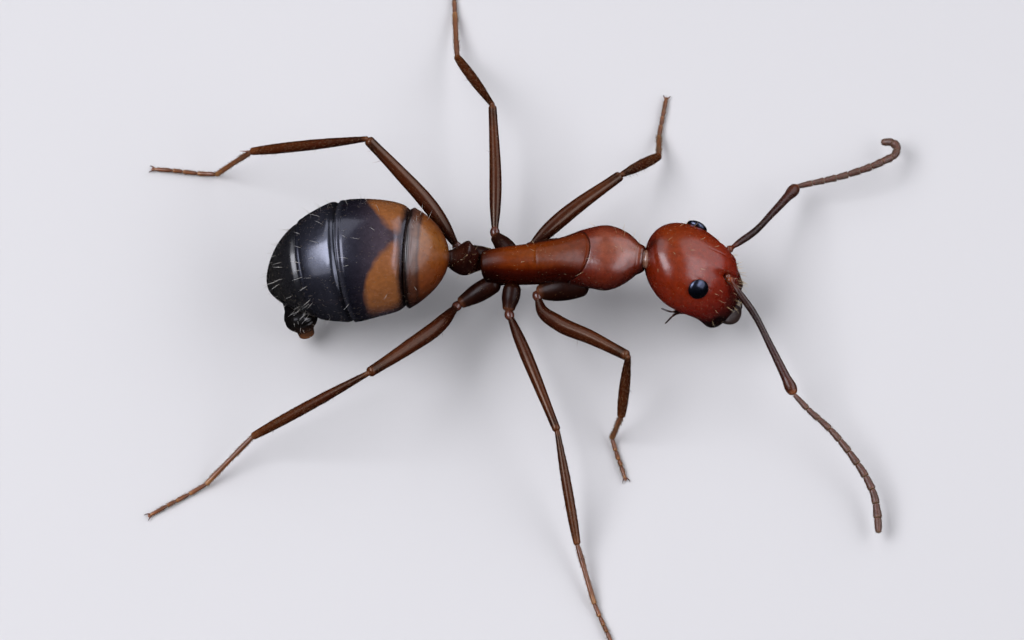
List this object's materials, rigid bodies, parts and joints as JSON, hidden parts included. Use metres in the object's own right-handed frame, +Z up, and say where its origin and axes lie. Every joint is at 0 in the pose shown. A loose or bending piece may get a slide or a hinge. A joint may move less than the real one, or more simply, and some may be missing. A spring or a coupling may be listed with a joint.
{
  "type": "carpenter ant",
  "caption": "Carpenter ant worker standing on spread legs, with a large heart-shaped head turned down, long bent feelers, a slim waist and an egg-shaped banded gaster.",
  "frame": {"origin": "on the floor that the feet stand on, under the middle of the whole ant's bounding box", "axes": "+X runs along the trunk towards the head, +Y to the ant's left, +Z up from the floor"},
  "size_m": [0.0154, 0.0156, 0.0032],
  "materials": {
    "head_shell": "glossy mahogany chitin",
    "jaw_shell": "glossy near-black chitin",
    "eye_lens": "black faceted eye with a soft shine",
    "trunk_shell": "satin orange-brown chitin",
    "waist_shell": "glossy dark brown chitin",
    "thigh_shell": "glossy dark red-brown chitin with fine pale hairs",
    "shin_shell": "glossy dark red-brown chitin with fine pale hairs",
    "foot_shell": "orange-brown chitin, thin and partly clear",
    "feeler_shell": "grey-brown chitin under fine down",
    "gaster_amber": "glossy amber chitin with a dark rear band",
    "gaster_slate": "glossy slate chitin with an amber patch on each side",
    "gaster_black": "glossy blue-black chitin"
  },
  "bodies": {
    "root": {"coxa_fore_left": "waist_shell", "coxa_fore_right": "waist_shell", "coxa_hind_left": "waist_shell", "coxa_hind_right": "waist_shell", "coxa_middle_left": "waist_shell", "coxa_middle_right": "waist_shell", "eye_left": "eye_lens", "eye_right": "eye_lens", "femur_fore_left": "thigh_shell", "femur_fore_right": "thigh_shell", "femur_hind_left": "thigh_shell", "femur_hind_right": "thigh_shell", "femur_middle_left": "thigh_shell", "femur_middle_right": "thigh_shell", "funiculus_base_left": "feeler_shell", "funiculus_base_right": "feeler_shell", "funiculus_tip_left": "feeler_shell", "funiculus_tip_right": "feeler_shell", "gaster_plate_1": "gaster_amber", "gaster_plate_2": "gaster_slate", "gaster_plate_3": "gaster_black", "gaster_plate_4": "gaster_black", "gaster_tip": "gaster_black", "head": "head_shell", "jaw_left": "jaw_shell", "jaw_right": "jaw_shell", "mesothorax": "trunk_shell", "petiole": "waist_shell", "propodeum": "trunk_shell", "prothorax": "trunk_shell", "scape_left": "feeler_shell", "scape_right": "feeler_shell", "tarsus_fore_left": "foot_shell", "tarsus_fore_right": "foot_shell", "tarsus_hind_left": "foot_shell", "tarsus_hind_right": "foot_shell", "tarsus_middle_left": "foot_shell", "tarsus_middle_right": "foot_shell", "tibia_fore_left": "shin_shell", "tibia_fore_right": "shin_shell", "tibia_hind_left": "shin_shell", "tibia_hind_right": "shin_shell", "tibia_middle_left": "shin_shell", "tibia_middle_right": "shin_shell"}
  },
  "joints": []
}
